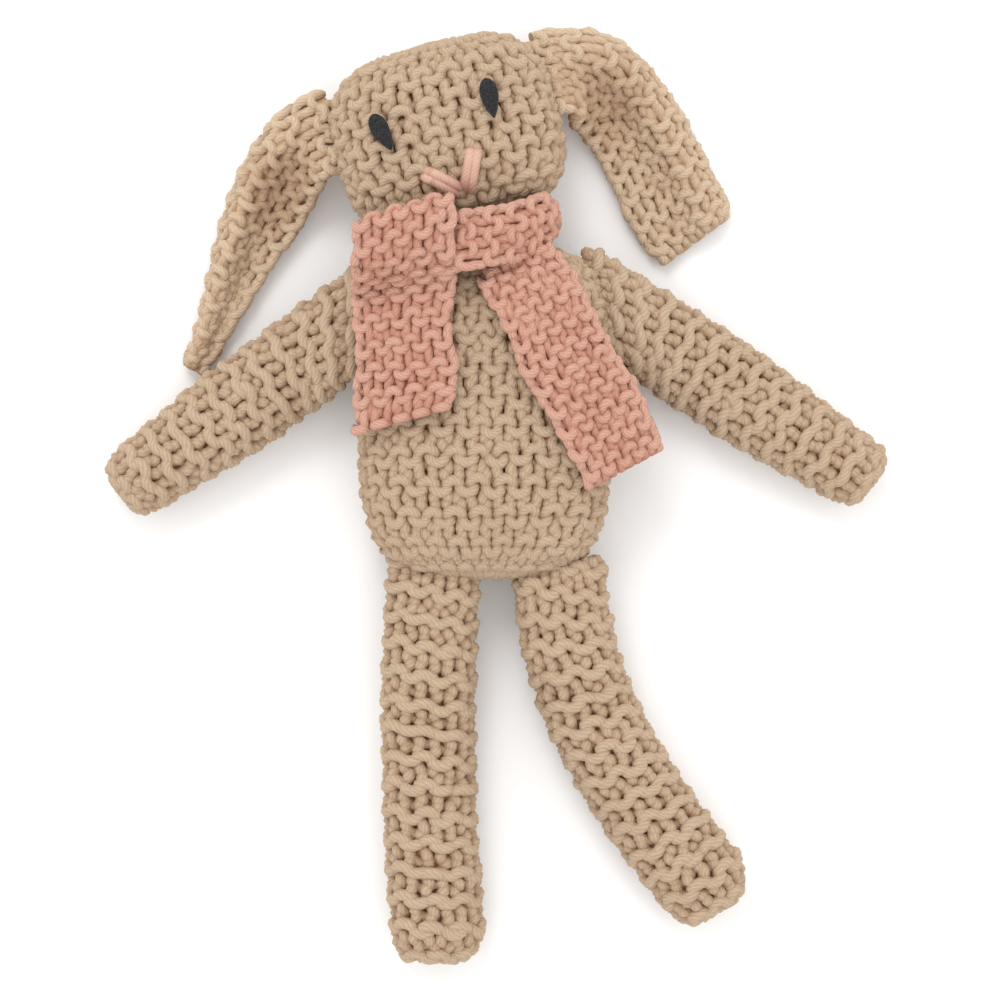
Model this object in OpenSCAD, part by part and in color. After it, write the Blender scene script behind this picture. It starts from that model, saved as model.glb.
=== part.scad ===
// Hand-knitted stuffed bunny, lying on its back.
// +Z points out of the chest, +Y towards the head, and the back rests on z = 0.
// The origin is the middle of the flat patch that the body lies on.

/* [Body] */
// Width of the body bag across the chest
body_w = 77; // [66:1:92]
// Length of the body bag from crotch to neck
body_l = 98.5; // [84:0.5:118]
// Height of the stuffed body above the surface it lies on
body_t = 38; // [32:1:46]
// Thickness of the knitted garter-stitch fabric
fabric_t = 5; // [4:0.5:6]

/* [Head] */
// Width of the head bag
head_w = 68.5; // [58:0.5:82]
// Height of the head bag from chin to crown
head_l = 54.5; // [46:0.5:65]
// Thickness of the stuffed head
head_t = 40; // [34:1:46]
// Lean of the head to one side
head_lean = 15; // [10:1:18]
// Length of the bare neck between body and head
neck_gap = 7.4; // [7:0.2:9]
// Width of the gathered neck
neck_w = 32.4; // [27:0.2:38]
// Thickness of the gathered neck
neck_t = 15.2; // [12:0.2:18]
// Size of each felt eye
eye_l = 11.4; // [9.6:0.1:13.6]
// Length of each nose stitch
nose_l = 10.8; // [9:0.1:12.8]

/* [Ears] */
// Width of each knitted ear
ear_w = 31; // [26:1:36]
// Straight distance from an ear's root to its tip, left ear
left_ear_l = 80; // [68:1:96]
// Straight distance from an ear's root to its tip, right ear
right_ear_l = 65; // [56:1:76]
// Height of the ear's raised edges above its hollow
ear_cup = 8; // [6:1:10]

/* [Arms] */
// Length of the left arm
left_arm_l = 86; // [74:1:103]
// Length of the right arm
right_arm_l = 92; // [78:1:110]
// Width of each arm at its middle
arm_w = 29; // [24:1:34]
// Thickness of each stuffed arm
arm_t = 23; // [20:1:27]

/* [Legs] */
// Length of the left leg
left_leg_l = 117; // [98:1:140]
// Length of the right leg, measured straight from hip to toe
right_leg_l = 112; // [94:1:134]
// Width of each leg
leg_w = 29; // [24:1:31]
// Thickness of each stuffed leg
leg_t = 25; // [21:1:30]

/* [Scarf] */
// Width of the knitted scarf lying flat
scarf_w = 30; // [25:1:34]
// Thickness of one layer of the scarf
scarf_t = 5; // [4:0.5:6]
// Length of the left scarf tail below the knot
left_tail_l = 50; // [42:1:60]
// Length of the right scarf tail below the neck band
right_tail_l = 67; // [56:1:80]

/* [Fit] */
// Gap between two pieces that move against each other
clearance = 0.5; // [0.3:0.1:0.8]
// Diameter of the sewing yarn in the seams
yarn_d = 1.6; // [1.2:0.1:2]

/* [Hidden] */

OATMEAL = [0.72, 0.62, 0.51];
SEAM_YARN = [0.62, 0.52, 0.41];
FILLING = [0.94, 0.93, 0.9];
CHARCOAL = [0.17, 0.17, 0.17];
PINK = [0.76, 0.56, 0.48];

// Facets round a bag, round a limb, and rings from a bag's edge to its middle
BAG_SIDES = 44;
LIMB_SIDES = 20;
BAG_RINGS = 8;
LIMB_RINGS = 15;

// Bags: squareness of the outline at the top and at the bottom, and fullness of the side view
BODY_TOP_P = 4.6;
BODY_BOTTOM_P = 3.6;
HEAD_P = 3.4;
FULLNESS = 2.6;
// A bag is drawn this much deeper below its seam than the surface allows, so it lies on a flat patch
SPREAD = 3;

body_mid = body_t / 2 - 1;
head_mid = head_t / 2 - 1;
seam_gap = yarn_d + 0.2;

// The neck leaves the body a little to one side of its middle line
neck_x = -4;
neck_pos = [neck_x, body_l / 2 + neck_gap / 2];
head_up = [-sin(head_lean), cos(head_lean)];
head_across = [cos(head_lean), sin(head_lean)];
head_pos = [neck_x, body_l / 2 + neck_gap] + head_up * head_l / 2;

// A limb is sewn on this far outside the edge of the bag it belongs to
root_gap = yarn_d + 2 * clearance - 0.4;
arm_root_r = 8;
leg_root_r = 9;

function signed_pow(v, p) = sign(v) * pow(abs(v), p);
function mix(a, b, t) = a + (b - a) * t;
function ease(t) = let (u = min(1, max(0, t))) u * u * (3 - 2 * u);
function unit(v) = v / norm(v);
function left_of(v) = [-v[1], v[0]];
function bezier(p, t) =
    pow(1 - t, 3) * p[0] + 3 * pow(1 - t, 2) * t * p[1] + 3 * (1 - t) * t * t * p[2] + t * t * t * p[3];

// Height of a bag's front above its seam at a share r of the way from its middle to its edge
function fullness(r) = pow(max(0, 1 - pow(min(1, r), FULLNESS)), 1 / FULLNESS);

// Closed outline of a bag, anticlockwise
function bag_outline(w, l, top_p, bottom_p) = [
    for (i = [0:BAG_SIDES - 1])
        let (a = 360 * i / BAG_SIDES, p = sin(a) > 0 ? top_p : bottom_p)
        [w / 2 * signed_pow(cos(a), 2 / p), l / 2 * signed_pow(sin(a), 2 / p)]
];

// Rings of one half of a bag, from its edge to its middle; side is 1 for the front, -1 for the back
function bag_rings(outline, mid, depth, side, lowest) = [
    for (k = [0:BAG_RINGS])
        let (
            r = pow(cos(86 * k / BAG_RINGS), 0.8),
            z = mid + side * (seam_gap / 2 + (depth - seam_gap / 2) * fullness(r) * (k > 0 ? 1 : 0))
        )
        [for (i = [0:BAG_SIDES - 1]) let (q = outline[side > 0 ? i : BAG_SIDES - 1 - i])
            [q[0] * r, q[1] * r, max(lowest, z)]]
];

function side_faces(rings, sides, first) = [
    for (j = [0:rings - 2]) for (i = [0:sides - 1])
        let (a = first + j * sides + i, b = first + j * sides + (i + 1) % sides)
        each [[a, b, a + sides], [b, b + sides, a + sides]]
];
function cap(sides, first, turned) = [for (i = [0:sides - 1]) first + (turned ? sides - 1 - i : i)];
function turned_round(faces) = [for (f = faces) [for (i = [len(f) - 1:-1:0]) f[i]]];

// A solid through a stack of rings, closed at both ends
module loft(rings) {
    sides = len(rings[0]);
    faces = concat(
        side_faces(len(rings), sides, 0),
        [cap(sides, 0, true), cap(sides, (len(rings) - 1) * sides, false)]
    );
    polyhedron([for (r = rings) each r], turned_round(faces));
}

// A skin between two stacks of rings, joined at their first ring and closed at their last
module skin(outer, inner) {
    sides = len(outer[0]);
    inside = len(outer) * sides;
    rim = [for (i = [0:sides - 1]) let (j = (i + 1) % sides)
        each [[i, inside + i, j], [j, inside + i, inside + j]]];
    faces = concat(
        side_faces(len(outer), sides, 0),
        [cap(sides, inside - sides, false)],
        turned_round(side_faces(len(inner), sides, inside)),
        [cap(sides, inside + (len(inner) - 1) * sides, true)],
        rim
    );
    polyhedron([for (r = concat(outer, inner)) each r], turned_round(faces));
}

// A closed loop of sections
module hoop(sections) {
    sides = len(sections[0]);
    count = len(sections);
    faces = [
        for (j = [0:count - 1]) for (i = [0:sides - 1])
            let (k = (j + 1) % count, n = (i + 1) % sides)
            each [[j * sides + i, j * sides + n, k * sides + i], [j * sides + n, k * sides + n, k * sides + i]]
    ];
    polyhedron([for (s = sections) each s], turned_round(faces));
}

// One half of a bag's knitted cover
module bag_panel(w, l, top_p, bottom_p, mid, depth, side) {
    skin(
        bag_rings(bag_outline(w, l, top_p, bottom_p), mid, depth, side, 0),
        bag_rings(
            bag_outline(w - 2 * fabric_t, l - 2 * fabric_t, top_p, bottom_p),
            mid, depth - fabric_t, side, fabric_t
        )
    );
}

// The seam yarn that joins a bag's two halves all the way round
module bag_seam(w, l, top_p, bottom_p, mid) {
    translate([0, 0, mid - yarn_d / 2])
        linear_extrude(yarn_d)
        difference() {
            polygon(bag_outline(w, l, top_p, bottom_p));
            polygon(bag_outline(w - 2 * fabric_t, l - 2 * fabric_t, top_p, bottom_p));
        }
}

// The filling of a bag, clear of its cover
module bag_filling(w, l, top_p, bottom_p, mid, front, back) {
    slack = fabric_t + clearance;
    outline = bag_outline(w - 2 * slack, l - 2 * slack, top_p, bottom_p);
    lower = bag_rings(outline, mid, back - slack, -1, slack);
    upper = bag_rings(outline, mid, front - slack, 1, slack);
    loft(concat(
        [for (k = [BAG_RINGS:-1:0]) [for (i = [BAG_SIDES - 1:-1:0]) lower[k][i]]],
        upper
    ));
}

// ---- Body bag
body_front = body_t - body_mid;
body_back = body_mid + SPREAD;

module body_front_panel() {
    color(OATMEAL) bag_panel(body_w, body_l, BODY_TOP_P, BODY_BOTTOM_P, body_mid, body_front, 1);
}
module body_back_panel() {
    color(OATMEAL) bag_panel(body_w, body_l, BODY_TOP_P, BODY_BOTTOM_P, body_mid, body_back, -1);
}
module body_side_seam() {
    color(SEAM_YARN) bag_seam(body_w, body_l, BODY_TOP_P, BODY_BOTTOM_P, body_mid);
}
module body_stuffing() {
    color(FILLING)
        bag_filling(body_w, body_l, BODY_TOP_P, BODY_BOTTOM_P, body_mid, body_front, body_back);
}

// Height of the chest above the surface at a point of the body
function chest_z(x, y) =
    let (
        p = y > 0 ? BODY_TOP_P : BODY_BOTTOM_P,
        r = pow(pow(abs(2 * x / body_w), p) + pow(abs(2 * y / body_l), p), 1 / p)
    )
    body_mid + body_front * fullness(r);

// ---- Neck: an oval wedge of gathering stitches between the two bags
NECK_SIDES = 36;
head_side_gap = 2 * clearance + 0.2;

function neck_ring(low, slope) = [
    for (i = [0:NECK_SIDES - 1])
        let (a = 360 * i / NECK_SIDES, x = neck_w / 2 * cos(a))
        [neck_x + x, low + x * slope, (body_mid + head_mid) / 2 + neck_t / 2 * sin(a)]
];
module neck_seam() {
    color(SEAM_YARN) loft([
        neck_ring(body_l / 2 + neck_gap - head_side_gap, tan(head_lean)),
        neck_ring(body_l / 2 + clearance, 0)
    ]);
}

// ---- Head bag, drawn upright about its own middle and then leaned over
head_front = head_t - head_mid;
head_back = head_mid + SPREAD;

module on_head() {
    translate([head_pos[0], head_pos[1], 0]) rotate([0, 0, head_lean]) children();
}
module head_front_panel() {
    color(OATMEAL) on_head() bag_panel(head_w, head_l, HEAD_P, HEAD_P, head_mid, head_front, 1);
}
module head_back_panel() {
    color(OATMEAL) on_head() bag_panel(head_w, head_l, HEAD_P, HEAD_P, head_mid, head_back, -1);
}
module head_side_seam() {
    color(SEAM_YARN) on_head() bag_seam(head_w, head_l, HEAD_P, HEAD_P, head_mid);
}
module head_stuffing() {
    color(FILLING) on_head()
        bag_filling(head_w, head_l, HEAD_P, HEAD_P, head_mid, head_front, head_back);
}

// Height of the face at a point of the head, in the head's own directions
function face_z(x, y) =
    head_mid + head_front
    * fullness(pow(pow(abs(2 * x / head_w), HEAD_P) + pow(abs(2 * y / head_l), HEAD_P), 1 / HEAD_P));

// ---- Eyes: charcoal felt teardrops, point down, sewn flat on the face
felt_t = 2;
eye_w = 0.58 * eye_l;
left_eye_pos = [-0.275 * head_w, 0.065 * head_l];
right_eye_pos = [0.21 * head_w, 0.09 * head_l];

function teardrop() = [
    for (i = [0:31])
        let (a = 90 + 360 * i / 32, down = (1 - sin(a)) / 2)
        [eye_w / 2 * cos(a) * (1 - 0.45 * down * down), eye_l / 2 * sin(a)]
];
module eye(pos) {
    highest = max([for (q = concat([[0, 0]], teardrop())) face_z(pos[0] + q[0], pos[1] + q[1])]);
    color(CHARCOAL) on_head()
        translate([pos[0], pos[1], highest + 0.05])
        linear_extrude(felt_t)
        polygon(teardrop());
}
module left_eye() { eye(left_eye_pos); }
module right_eye() { eye(right_eye_pos); }

// ---- Nose: two pink yarn stitches that meet in a V
nose_pos = [0, -0.3 * head_l];
nose_d = 2.6;
nose_spread = [49, -25];

module nose_stitches() {
    color(PINK) on_head()
        for (side = [0, 1])
            let (
                sign_x = side == 0 ? -1 : 1,
                foot = [nose_pos[0] + sign_x * (nose_d / 2 + 0.1), nose_pos[1]],
                top = foot + nose_l * [-sin(nose_spread[side]), cos(nose_spread[side])],
                lift = max(face_z(foot[0], foot[1]), face_z(top[0], top[1])) + nose_d / 2 + 0.1
            )
            hull() {
                translate([foot[0], foot[1], lift]) sphere(d = nose_d, $fn = 16);
                translate([top[0], top[1], lift]) sphere(d = nose_d, $fn = 16);
            }
}

// ---- Limbs. A limb is a spine in plan, with a width, a thickness and a height at each ring.
// The root is pinched flat along the seam, and the free end is round.
function root_round(s, r) = s >= r ? 1 : sqrt(max(0.03, 1 - pow((r - s) / r, 2)));
function tip_round(s, len, r) = s <= len - r ? 1 : sqrt(max(0.03, 1 - pow((s - len + r) / r, 2)));

// A station is [centre, side vector, half width, half thickness, height of the middle]
function station_ring(st, grow, lowest) = [
    for (i = [0:LIMB_SIDES - 1])
        let (
            a = 360 * i / LIMB_SIDES,
            u = max(0.5, st[2] + grow) * signed_pow(cos(a), 0.85),
            v = max(0.5, st[3] + grow) * signed_pow(sin(a), 0.85)
        )
        [st[0][0] + st[1][0] * u, st[0][1] + st[1][1] * u, max(lowest, st[4] + v)]
];

// Distance along a limb of ring k, closer together at both ends
function along(k, len) = len * (1 - cos(180 * k / LIMB_RINGS)) / 2;

module limb_cover(stations) {
    skin(
        [for (st = stations) station_ring(st, 0, 0)],
        [for (k = [0:LIMB_RINGS]) station_ring(stations[min(k, LIMB_RINGS - 1)], -fabric_t, fabric_t)]
    );
}

// The filling starts where the root is thick enough to hold any
module limb_filling(stations) {
    slack = fabric_t + clearance;
    kept = [for (st = stations) if (st[3] - slack > 1.5) st];
    loft([for (st = kept) station_ring(st, -slack, slack)]);
}

// The lengthwise seam yarn, along the edge of the limb
module limb_seam(stations, side) {
    loft([
        for (k = [2:LIMB_RINGS - 2])
            let (
                st = stations[k],
                at = st[0] + st[1] * side * (st[2] + yarn_d / 2 + 0.15),
                facing = side * unit([st[1][0], st[1][1]])
            )
            [for (i = [0:7]) [
                at[0] + facing[0] * side * yarn_d / 2 * cos(45 * i),
                at[1] + facing[1] * side * yarn_d / 2 * cos(45 * i),
                st[4] + yarn_d / 2 * sin(45 * i)
            ]]
    ]);
}

// ---- Arms, sewn flat along the body's sides. side is -1 for the left arm, 1 for the right.
arm_fall = [35.6, 33.4];
arm_root_y = [0.265 * body_l, 0.3 * body_l];
arm_root_w = [34, 31];
arm_tip_w = 0.8 * arm_w;
arm_lift = arm_t / 2 - 0.6;

function arm_root(side) = [side * (body_w / 2 + root_gap), arm_root_y[side < 0 ? 0 : 1]];
function arm_way(side) = let (a = arm_fall[side < 0 ? 0 : 1]) [side * cos(a), -sin(a)];
function arm_len(side) = side < 0 ? left_arm_l : right_arm_l;
function arm_stations(side) =
    let (len = arm_len(side), way = arm_way(side), root_w = arm_root_w[side < 0 ? 0 : 1])
    [for (k = [0:LIMB_RINGS])
        let (
            s = along(k, len),
            turn = ease(s / (0.35 * len)),
            width = mix(mix(root_w, arm_w, ease(s / (0.3 * len))), arm_tip_w, ease((s / len - 0.45) / 0.5)),
            thick = mix(2 * arm_root_r, arm_t, ease((s - arm_root_r) / 22))
        )
        [
            arm_root(side) + way * s,
            side * unit(mix([0, 1], left_of(way) * side, turn)),
            width / 2 * tip_round(s, len, arm_tip_w / 2),
            thick / 2 * root_round(s, arm_root_r) * tip_round(s, len, arm_tip_w / 2),
            mix(body_mid, arm_lift, ease(s / (0.4 * len)))
        ]
    ];

module left_arm_cover() { color(OATMEAL) limb_cover(arm_stations(-1)); }
module left_arm_stuffing() { color(FILLING) limb_filling(arm_stations(-1)); }
module left_arm_seam() { color(SEAM_YARN) limb_seam(arm_stations(-1), 1); }
module right_arm_cover() { color(OATMEAL) limb_cover(arm_stations(1)); }
module right_arm_stuffing() { color(FILLING) limb_filling(arm_stations(1)); }
module right_arm_seam() { color(SEAM_YARN) limb_seam(arm_stations(1), -1); }

// ---- Legs, sewn flat along the bottom of the body
leg_lift = leg_t / 2 - 0.6;
leg_tip_r = 0.42 * leg_w;
left_leg_x = -0.205 * body_w;
right_leg_x = left_leg_x + leg_w + 9.5;
leg_root_y = -body_l / 2 - root_gap;

left_leg_spine = [
    [left_leg_x, leg_root_y],
    [left_leg_x - 2.5, leg_root_y - left_leg_l / 3],
    [left_leg_x - 1.5, leg_root_y - 2 * left_leg_l / 3],
    [left_leg_x + 2.5, leg_root_y - left_leg_l]
];
// The right leg bends outwards below the knee
right_leg_spine = [
    [right_leg_x, leg_root_y],
    [right_leg_x + 0.02 * right_leg_l, leg_root_y - 0.32 * right_leg_l],
    [right_leg_x + 0.16 * right_leg_l, leg_root_y - 0.55 * right_leg_l],
    [right_leg_x + 0.44 * right_leg_l, leg_root_y - 0.9 * right_leg_l]
];

function leg_stations(spine, len) = [
    for (k = [0:LIMB_RINGS])
        let (
            s = along(k, len),
            t = s / len,
            ahead = unit(bezier(spine, min(1, t + 0.01)) - bezier(spine, max(0, t - 0.01)))
        )
        [
            bezier(spine, t),
            -unit(mix([-1, 0], left_of(ahead) * -1, ease(t / 0.25))),
            leg_w / 2 * tip_round(s, len, leg_tip_r),
            mix(leg_root_r, leg_t / 2, ease((s - leg_root_r) / 24))
                * root_round(s, leg_root_r) * tip_round(s, len, leg_tip_r),
            mix(body_mid, leg_lift, ease(t / 0.4))
        ]
];

module left_leg_cover() { color(OATMEAL) limb_cover(leg_stations(left_leg_spine, left_leg_l)); }
module left_leg_stuffing() { color(FILLING) limb_filling(leg_stations(left_leg_spine, left_leg_l)); }
module left_leg_seam() { color(SEAM_YARN) limb_seam(leg_stations(left_leg_spine, left_leg_l), -1); }
module right_leg_cover() { color(OATMEAL) limb_cover(leg_stations(right_leg_spine, right_leg_l)); }
module right_leg_stuffing() { color(FILLING) limb_filling(leg_stations(right_leg_spine, right_leg_l)); }
module right_leg_seam() { color(SEAM_YARN) limb_seam(leg_stations(right_leg_spine, right_leg_l), 1); }

// ---- Stitches that sew the limbs on: a straight line of yarn in each root gap
module stitch_line(middle, length, along_x, height) {
    color(SEAM_YARN)
        translate([middle[0], middle[1], height])
        rotate(along_x ? [0, 90, 0] : [90, 0, 0])
        cylinder(d = yarn_d, h = length, center = true, $fn = 24);
}
module left_shoulder_stitches() {
    stitch_line([-body_w / 2 - root_gap / 2, arm_root_y[0] - 3], 0.7 * arm_root_w[0], false, body_mid);
}
module right_shoulder_stitches() {
    stitch_line([body_w / 2 + root_gap / 2, arm_root_y[1] - 3], 0.7 * arm_root_w[1], false, body_mid);
}
module left_hip_stitches() {
    stitch_line([left_leg_x + 1, -body_l / 2 - root_gap / 2], 0.8 * leg_w, true, body_mid);
}
module right_hip_stitches() {
    stitch_line([right_leg_x - 1, -body_l / 2 - root_gap / 2], 0.8 * leg_w, true, body_mid);
}

// ---- Ears: single-layer strips, cupped lengthwise, sewn along the head's upper sides.
// Each one falls until its tip lies just above the arm on that side.
ear_t = 5.5;
EAR_ACROSS = 6;
EAR_RINGS = 14;
ear_root_rise = 0.19 * head_l;
ear_root_w = 0.5 * head_l;
ear_side_gap = 2.2;
// Share of its length over which an ear stands straight out of the head, and by which it bows outwards
ear_leave = [0.27, 0.33];
ear_bow = [0.1, 0.03];
// The left ear narrows to this share of its width
left_ear_taper = 0.62;

function ear_root(side) =
    head_pos + head_across * side * (head_w / 2 + root_gap) + head_up * ear_root_rise;
// Distance of the ear's end from the line along the arm's upper edge
function ear_clear(side) = ear_side_gap + (side < 0 ? left_ear_taper * ear_w / 2 - 8 : ear_w / 2 + 1);
function arm_edge_normal(side) = side * left_of(arm_way(side));
function arm_edge_point(side) = arm_root(side) + arm_edge_normal(side) * arm_w / 2;
function ear_end(side, len) =
    let (
        n = arm_edge_normal(side),
        drop = (ear_root(side) - arm_edge_point(side)) * n - ear_clear(side)
    )
    ear_root(side) - n * drop + arm_way(side) * sqrt(len * len - drop * drop);
function ear_spine(side, len) =
    let (root = ear_root(side), end = ear_end(side, len), out = head_across * side)
    [root, root + out * len * ear_leave[side < 0 ? 0 : 1] + (end - root) * 0.04,
        end - (end - root) * 0.36 + out * len * ear_bow[side < 0 ? 0 : 1], end];
function ear_half_w(side, t) =
    side < 0
        ? mix(ear_root_w, mix(ear_w, left_ear_taper * ear_w, ease((t - 0.15) / 0.6)), ease(t / 0.12)) / 2
            * sqrt(max(0.06, 1 - pow(max(0, (t - 0.86) / 0.14), 2)))
        : mix(ear_root_w, ear_w, ease(t / 0.3)) / 2
            * sqrt(max(0.3, 1 - pow(max(0, (t - 0.93) / 0.07), 2)));
function ear_section(side, spine, t) =
    let (
        c = bezier(spine, t),
        ahead = unit(bezier(spine, min(1, t + 0.01)) - bezier(spine, max(0, t - 0.01))),
        across = unit(mix(head_up, left_of(ahead) * side, ease(t / 0.2))),
        half = ear_half_w(side, t),
        cup = ear_cup * ease(t / 0.25) * (1 - 0.55 * ease((t - 0.55) / 0.45)),
        low = mix(head_mid - ear_t / 2, 0, ease(t / 0.45)),
        row = [for (i = [0:EAR_ACROSS]) let (u = 2 * i / EAR_ACROSS - 1)
            [c[0] + across[0] * half * u, c[1] + across[1] * half * u, low + cup * u * u]],
        end_t = ear_t * (t < 0.01 ? 0.5 : 1)
    )
    concat(
        [for (i = [0:EAR_ACROSS]) row[i] + [0, 0, (ear_t - end_t) / 2]],
        [for (i = [EAR_ACROSS:-1:0]) row[i] + [0, 0, (ear_t + end_t) / 2]]
    );
module ear(side, len) {
    spine = ear_spine(side, len);
    rings = [for (k = [0:EAR_RINGS])
        let (ring = ear_section(side, spine, k / EAR_RINGS))
        side > 0 ? ring : [for (i = [len(ring) - 1:-1:0]) ring[i]]];
    color(OATMEAL) loft(rings);
}
module left_ear() { ear(-1, left_ear_l); }
module right_ear() { ear(1, right_ear_l); }

module ear_stitches(side) {
    middle = ear_root(side) - head_across * side * root_gap / 2;
    color(SEAM_YARN)
        translate([middle[0], middle[1], head_mid])
        rotate([90, 0, head_lean])
        cylinder(d = yarn_d, h = 0.6 * ear_root_w, center = true, $fn = 24);
}
module left_ear_stitches() { ear_stitches(-1); }
module right_ear_stitches() { ear_stitches(1); }

// ---- Scarf. The band goes once round the neck, gathered thin at the sides where head and body meet.
BAND_STEPS = 40;
band_front_w = 0.5 * scarf_w;
band_back_w = 0.27 * scarf_w;
band_side_w = neck_gap - 4.8;
band_rx = neck_w / 2 + scarf_t / 2 + clearance + 1.6;
band_top = max(body_t, head_t) + 3.4;
band_mid = (band_top + scarf_t / 2) / 2;
band_rz = (band_top - scarf_t / 2) / 2 - 0.3;

// Width of the band, from its side towards its front (up to 1) or its back (down to -1)
function band_width(height) =
    height > 0
        ? mix(band_side_w, band_front_w, ease((height - 0.25) / 0.6))
        : mix(band_side_w, band_back_w, ease((-height - 0.6) / 0.4));

module scarf_neck_band() {
    sections = [
        for (k = [0:BAND_STEPS - 1])
            let (
                a = 360 * k / BAND_STEPS,
                facing = [cos(a), sin(a)],
                x = band_rx * facing[0],
                z = band_mid + band_rz * facing[1],
                half_w = band_width(facing[1]) / 2,
                lean = tan(head_lean) * (x < 0 ? 0.5 : 0.75),
                y = neck_pos[1] + 0.6 * ease(facing[1]) - 1.2 * ease(-facing[1]) + x * lean
            )
            [for (i = [9:-1:0])
                let (b = 36 * i, r = scarf_t / 2 * sin(b))
                [neck_x + x + facing[0] * r, y + half_w * signed_pow(cos(b), 0.7), z + facing[1] * r]]
    ];
    color(PINK) hoop(sections);
}

// The free end is brought up behind the band and folded down over it
KNOT_RINGS = 8;
knot_low = band_top + scarf_t / 2 + clearance - 1.5;
knot_y = [neck_pos[1] - 0.5 * scarf_w * 0.55, neck_pos[1] + 0.5 * scarf_w * 0.65];
tail_x = neck_x - 0.5 * scarf_w - 5.4;

function slab(y, x, w, low, thick) =
    [for (i = [0:11])
        let (u = i < 6 ? i / 2.5 - 1 : 1 - (i - 6) / 2.5)
        [x + w / 2 * u, y, low(u) + (i < 6 ? 0 : thick)]];

module scarf_knot() {
    rings = [
        for (k = [KNOT_RINGS:-1:0])
            let (
                a = 180 * k / KNOT_RINGS,
                y = mix(knot_y[0], knot_y[1], (1 - cos(a)) / 2),
                swell = scarf_t * (0.35 + 0.75 * sin(a))
            )
            slab(y, tail_x, scarf_w * (0.9 + 0.1 * sin(a)), function(u) knot_low + 0.4 - 0.4 * u * u, swell)
    ];
    color(PINK) loft(rings);
}

// A tail lies on the chest and droops where it passes the edge of the body
DRAPE_STOP = 0.38;
DROOP = 0.3;
function drape_z(x, y) =
    let (stop = DRAPE_STOP * body_w, beyond = max(0, abs(x) - stop))
    chest_z(min(stop, abs(x)), max(-0.42 * body_l, min(0.42 * body_l, y))) - DROOP * beyond + clearance + 0.6;

// root is the middle of the hinge line, turn is the tail's slant from straight down
function tail_rings(root, turn, w, len) = [
    for (k = [0:12])
        let (
            s = len * k / 12,
            way = [sin(turn), -cos(turn)],
            across = [cos(turn), sin(turn)],
            half = w / 2 * (k == 0 || k == 12 ? 0.93 : 1),
            thick = scarf_t * (k == 0 || k == 12 ? 0.6 : 1),
            row = [for (i = [0:6]) let (u = i / 3 - 1, q = root + way * s + across * half * u)
                [q[0], q[1], drape_z(q[0], q[1]) + (scarf_t - thick) / 2]]
        )
        concat(row, [for (i = [6:-1:0]) row[i] + [0, 0, thick]])
];

left_tail_root = [tail_x, knot_y[0] - clearance];
right_tail_root = [0.12 * body_w, neck_pos[1] - band_front_w / 2 - 4.5];
right_tail_turn = 27;

module scarf_left_tail() {
    color(PINK) loft(tail_rings(left_tail_root, 0, scarf_w, left_tail_l));
}
module scarf_right_tail() {
    color(PINK) loft(tail_rings(right_tail_root, right_tail_turn, 0.8 * scarf_w, right_tail_l));
}

body_front_panel();
body_back_panel();
body_side_seam();
body_stuffing();
neck_seam();
left_shoulder_stitches();
right_shoulder_stitches();
left_hip_stitches();
right_hip_stitches();
head_front_panel();
head_back_panel();
head_side_seam();
head_stuffing();
left_eye();
right_eye();
nose_stitches();
left_ear_stitches();
right_ear_stitches();
left_ear();
right_ear();
left_arm_cover();
left_arm_stuffing();
left_arm_seam();
right_arm_cover();
right_arm_stuffing();
right_arm_seam();
left_leg_cover();
left_leg_stuffing();
left_leg_seam();
right_leg_cover();
right_leg_stuffing();
right_leg_seam();
scarf_neck_band();
scarf_knot();
scarf_left_tail();
scarf_right_tail();
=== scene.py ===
"""A hand-knitted stuffed bunny with a knitted scarf, lying on its back.

Lengths are in millimetres until a piece is finished, and then in metres.
"""

import math

import bmesh
import bpy
import numpy as np
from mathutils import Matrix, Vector


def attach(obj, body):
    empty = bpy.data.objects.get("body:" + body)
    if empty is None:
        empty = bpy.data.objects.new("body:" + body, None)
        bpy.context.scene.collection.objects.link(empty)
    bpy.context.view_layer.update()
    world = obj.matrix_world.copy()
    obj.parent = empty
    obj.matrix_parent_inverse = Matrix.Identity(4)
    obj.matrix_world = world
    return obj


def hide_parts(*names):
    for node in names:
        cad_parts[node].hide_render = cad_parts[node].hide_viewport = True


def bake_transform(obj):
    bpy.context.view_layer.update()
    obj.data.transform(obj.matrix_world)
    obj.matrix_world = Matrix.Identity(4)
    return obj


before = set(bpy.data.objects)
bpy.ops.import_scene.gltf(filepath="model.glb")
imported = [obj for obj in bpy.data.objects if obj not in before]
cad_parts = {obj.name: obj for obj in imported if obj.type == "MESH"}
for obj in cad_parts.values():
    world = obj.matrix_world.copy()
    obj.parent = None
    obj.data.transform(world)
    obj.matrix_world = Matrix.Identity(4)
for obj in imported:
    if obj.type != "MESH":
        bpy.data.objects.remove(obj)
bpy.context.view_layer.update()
MM = 0.001

# ---------------------------------------------------------------------------------------------
# Body bag: a flat bag of garter stitch in chunky plied yarn, turned, stuffed and closed.
# Every row of stitches is one length of yarn whose loops hook through the rows above and below.
# ---------------------------------------------------------------------------------------------
BODY_W, BODY_L, BODY_T = 77.0, 98.5, 38.0
BODY_MID = BODY_T / 2 - 1
FULLNESS = 2.6
YARN_R = 1.75
ROW_STEP = 4.5
COVER_INSET = 2.7
FLOOR_CLEAR = 2.65


def signed_pow(value, power):
    return np.sign(value) * np.abs(value) ** power


def mixed(a, b, t):
    return a + (b - a) * t


def ease(t):
    t = np.clip(t, 0.0, 1.0)
    return t * t * (3 - 2 * t)


def fullness(share):
    """Height of a stuffed bag above its seam at a share of the way from its middle to its edge."""
    return (1 - np.clip(share, 0, 1) ** FULLNESS) ** (1 / FULLNESS)


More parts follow.
